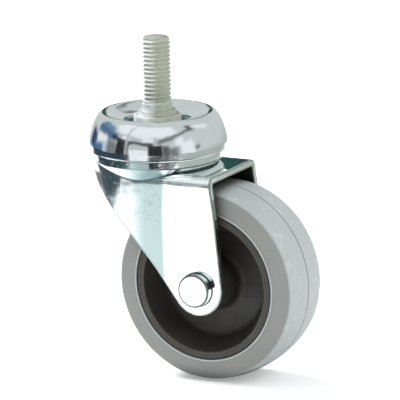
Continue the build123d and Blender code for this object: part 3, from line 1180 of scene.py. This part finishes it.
class CASTOR_OT_stage(bpy.types.Operator):
    """Make the camera, the floor, the room that the metal mirrors and the lamps"""

    bl_idname = "castor.stage"
    bl_label = "Stage"

    # The floor that the metal mirrors ends this far from the stem, towards each azimuth in degrees.
    MIRRORED_EDGES = {-62: 306 * MM, 0: 375 * MM, 45: 372 * MM, 90: 330 * MM, 135: 340 * MM}
    MIRRORED_SOFT = 3 * MM
    # Each lamp: its azimuth and elevation in degrees, its distance, its size and its power.
    LAMPS = {
        "lamp_right": (78, 34, 1.2, 0.8, 6.0),
        "lamp_left": (-100, 42, 1.2, 0.6, 20.0),
        "lamp_top": (-20, 75, 1.4, 1.0, 2.0),
    }
    # Each screen of the room: its middle and half width in azimuth, its middle and half height in
    # elevation, how far it climbs for each degree of azimuth, the softness of its edges and its
    # tone. All angles are in degrees, and an azimuth of 0 is straight in front.
    SCREENS = {
        "ceiling": (0, 66, 45, 16, 0.0, 12, "white"),
        "ceiling_edge": (-10, 52, 26, 3, 0.0, 5, "silver"),
        "blue_haze": (-80, 22, 27, 9, 0.0, 12, "haze"),
        "blue_shade": (-76, 27, 18, 5, 0.1, 6, "blue"),
        "deep_blue": (-93, 18, -4, 9, 0.0, 6, "blue"),
        "night_blue": (-108, 7, -2, 8, 0.0, 7, "navy"),
        "pale_streak": (-83, 13, 9, 4, 0.25, 5, "white"),
        "light_blue": (-71, 4, -6, 13, 0.0, 4, "ice"),
        "dusk": (-57, 9, -1, 15, 0.0, 6, "grey"),
        "dark_left": (-36, 12, -1, 21, 0.0, 4, "black"),
        "glow_left": (-31, 6, 24.5, 2.5, 0.0, 3, "white"),
        "glow_front": (10, 10, 27, 2.5, 0.0, 4, "white"),
        "window": (-5, 15.5, -2, 18, 0.0, 2, "white"),
        "window_head": (-5, 15, 14, 2, 0.0, 2, "silver"),
        "rail": (-20, 40, 20, 2, 0.05, 4, "black"),
        "dark_front": (23.5, 11.5, 0, 21, 0.0, 2, "black"),
        "dim_front": (41, 6, 0, 20, 0.0, 5, "shade"),
        "grey_front": (54, 8, -3, 19, 0.0, 7, "grey"),
        "glow_right": (66, 7, 23, 5, 0.2, 6, "white"),
        "window_right": (79, 12, 8, 13, 0.0, 7, "white"),
        "knob_right": (97, 3.5, 9, 2.5, 0.0, 4, "grey"),
        "ridge_right": (65, 38, 31, 2.5, 0.16, 6, "shade"),
        "corner_right": (98, 7, 41, 9, 0.0, 9, "shade"),
        "cool_right": (119, 15, 32, 4, -0.5, 6, "white"),
        "pillar": (-28, 1.6, 22, 38, 0.0, 2, "silver"),
        "dark_low": (-69, 46, -14, 5, 0.0, 3, "slate"),
        "pale_low": (-125, 19, -20, 14, 0.0, 8, "ice"),
        "teal_rear": (-152, 5, 12.5, 4.5, 0.0, 2.5, "teal"),
        "dark_rear": (-168, 9, 38, 6, 0.0, 5, "grey"),
    }
    TONES = {
        "white": linear(245, 248, 250),
        "silver": linear(190, 195, 195),
        "ice": linear(185, 210, 235),
        "grey": linear(125, 132, 130),
        "shade": linear(92, 98, 95),
        "black": linear(45, 46, 50),
        "haze": linear(112, 145, 175),
        "slate": linear(50, 66, 76),
        "blue": linear(84, 113, 150),
        "navy": linear(60, 70, 105),
        "teal": linear(40, 76, 72),
    }
    ROOM_LOW = linear(176, 184, 178)
    ROOM_HIGH = linear(208, 214, 212)
    SKY = (0.6, 0.61, 0.62)
    WHITE = (1.0, 1.0, 1.0)

    def camera(self, context):
        """Makes the camera."""
        stage = context.scene.castor.stage
        back = towards(stage.azimuth, stage.elevation)
        level = Vector((cos(stage.azimuth), sin(stage.azimuth), 0))
        turn = Matrix.Rotation(stage.roll, 4, back)
        right = turn @ level
        up = back.cross(right)
        camera = bpy.data.objects.new("camera", bpy.data.cameras.new("camera"))
        axes = Matrix((right, up, back)).transposed().to_4x4()
        camera.matrix_world = Matrix.Translation(Vector(stage.aim) + back * stage.distance) @ axes
        camera.data.lens = camera.data.sensor_width * stage.distance / stage.field
        context.scene.collection.objects.link(camera)
        context.scene.camera = camera

    def floor(self, context):
        """Makes the floor, white to the camera but for the castor's shadow."""
        stage = context.scene.castor.stage
        mesh = bmesh.new()
        bmesh.ops.create_circle(mesh, cap_ends=True, segments=64, radius=stage.floor_radius)
        floor = show("floor", mesh)
        floor.location.z = cad_box[0].z
        material, tree, shader, place = new_material("Pale floor")
        rays = tree.nodes.new("ShaderNodeLightPath").outputs
        seen = maths(tree, "MAXIMUM", rays["Is Camera Ray"], rays["Is Glossy Ray"])
        x, y, _ = coordinates(tree, place)
        past = 0.0
        for azimuth, edge in self.MIRRORED_EDGES.items():
            out_x = times(tree, x, sin(radians(azimuth)))
            out_y = times(tree, y, -cos(radians(azimuth)))
            reach = maths(tree, "ADD", out_x, out_y)
            beyond = ramp(tree, reach, edge - self.MIRRORED_SOFT, edge + self.MIRRORED_SOFT)
            past = maths(tree, "MAXIMUM", past, beyond)
        unseen = times(tree, past, rays["Is Glossy Ray"])
        length = add(tree, "ShaderNodeVectorMath", {"operation": "LENGTH"}, Vector=place)
        near, far, glow = 0.25, 0.9, 0.2
        lift = ramp(tree, length.outputs["Value"], near, far, 0.1, 0.5)
        lift = times(tree, lift, rays["Is Camera Ray"])
        set_shader(
            shader,
            Base_Color=(0.8, 0.8, 0.8, 1.0),
            Roughness=0.9,
            Specular_IOR_Level=0.0,
            Alpha=maths(tree, "SUBTRACT", 1.0, unseen),
            Emission_Color=(*self.WHITE, 1.0),
            Emission_Strength=raised(tree, lift, seen, glow),
        )
        floor.data.materials.append(material)

    def room(self, context):
        """Makes the room: white to the camera, a plain sky to matt surfaces, screens to metal."""
        world = bpy.data.worlds.new("room")
        context.scene.world = world
        world.use_nodes = True
        tree = world.node_tree
        direction = tree.nodes.new("ShaderNodeTexCoord").outputs["Generated"]
        x, y, z = coordinates(tree, direction)
        degree, half_turn = 180 / pi, 180.0
        low, high = -14.0, 6.0
        front = times(tree, y, -1.0)
        azimuth = times(tree, maths(tree, "ARCTAN2", x, front), degree)
        elevation = times(tree, maths(tree, "ARCSINE", z), degree)
        colour = mixed(tree, ramp(tree, elevation, low, high), self.ROOM_LOW, self.ROOM_HIGH)
        for middle, half, height, half_height, climb, soft, tone in self.SCREENS.values():
            off = maths(tree, "SUBTRACT", azimuth, float(middle))
            off = maths(tree, "WRAP", off, half_turn, -half_turn)
            across = ridge(tree, off, 0.0, half, soft)
            level = maths(tree, "SUBTRACT", elevation, times(tree, off, climb))
            up = ridge(tree, level, float(height), half_height, soft)
            colour = mixed(tree, times(tree, across, up), colour, self.TONES[tone])
        rays = tree.nodes.new("ShaderNodeLightPath").outputs
        colour = mixed(tree, rays["Is Glossy Ray"], self.SKY, colour)
        colour = mixed(tree, rays["Is Camera Ray"], colour, self.WHITE)
        tree.links.new(colour, tree.nodes["Background"].inputs["Color"])

    def lamp(self, context, name, azimuth, elevation, distance, size, power):
        """Makes a lamp that metal doesn't mirror."""
        data = bpy.data.lights.new(name, "AREA")
        data.shape = "DISK"
        data.size = size
        data.energy = power
        lamp = bpy.data.objects.new(name, data)
        lamp.visible_glossy = False
        back = towards(radians(azimuth), radians(elevation))
        lamp.location = Vector(context.scene.castor.stage.aim) + back * distance
        lamp.rotation_euler = back.to_track_quat("Z", "Y").to_euler()
        context.scene.collection.objects.link(lamp)

    def execute(self, context):
        context.scene.view_settings.view_transform = "Standard"
        self.camera(context)
        self.floor(context)
        self.room(context)
        for name, values in self.LAMPS.items():
            self.lamp(context, name, *values)
        return {"FINISHED"}


PIECES = (
    CASTOR_OT_stem,
    CASTOR_OT_cap,
    CASTOR_OT_fork,
    CASTOR_OT_axle,
    CASTOR_OT_tyre,
    CASTOR_OT_hub,
    CASTOR_OT_bearings,
    CASTOR_OT_stage,
)


class CASTOR_PT_sidebar(bpy.types.Panel):
    """The castor's pieces and settings"""

    bl_idname = "CASTOR_PT_sidebar"
    bl_label = "Castor"
    bl_space_type = "VIEW_3D"
    bl_region_type = "UI"
    bl_category = "Castor"

    def draw(self, context):
        castor = context.scene.castor
        for piece in PIECES:
            self.layout.operator(piece.bl_idname)
        for settings in (castor.stem, castor.wheel, castor.finish, castor.stage):
            box = self.layout.box()
            for name in settings.__annotations__:
                box.prop(settings, name)


CLASSES = (
    CastorStemSettings,
    CastorWheelSettings,
    CastorFinishSettings,
    CastorStageSettings,
    CastorSettings,
    *PIECES,
    CASTOR_PT_sidebar,
)


def register():
    """Registers the classes and puts the castor's settings on the scene."""
    for kind in CLASSES:
        bpy.utils.register_class(kind)
    bpy.types.Scene.castor = PointerProperty(type=CastorSettings)


def unregister():
    """Takes the settings off the scene and unregisters the classes."""
    del bpy.types.Scene.castor
    for kind in reversed(CLASSES):
        bpy.utils.unregister_class(kind)


def main():
    """Dresses the frame."""
    register()
    share_groups()
    for piece in PIECES:
        group, action = piece.bl_idname.split(".")
        getattr(getattr(bpy.ops, group), action)()


if __name__ == "__main__":
    main()
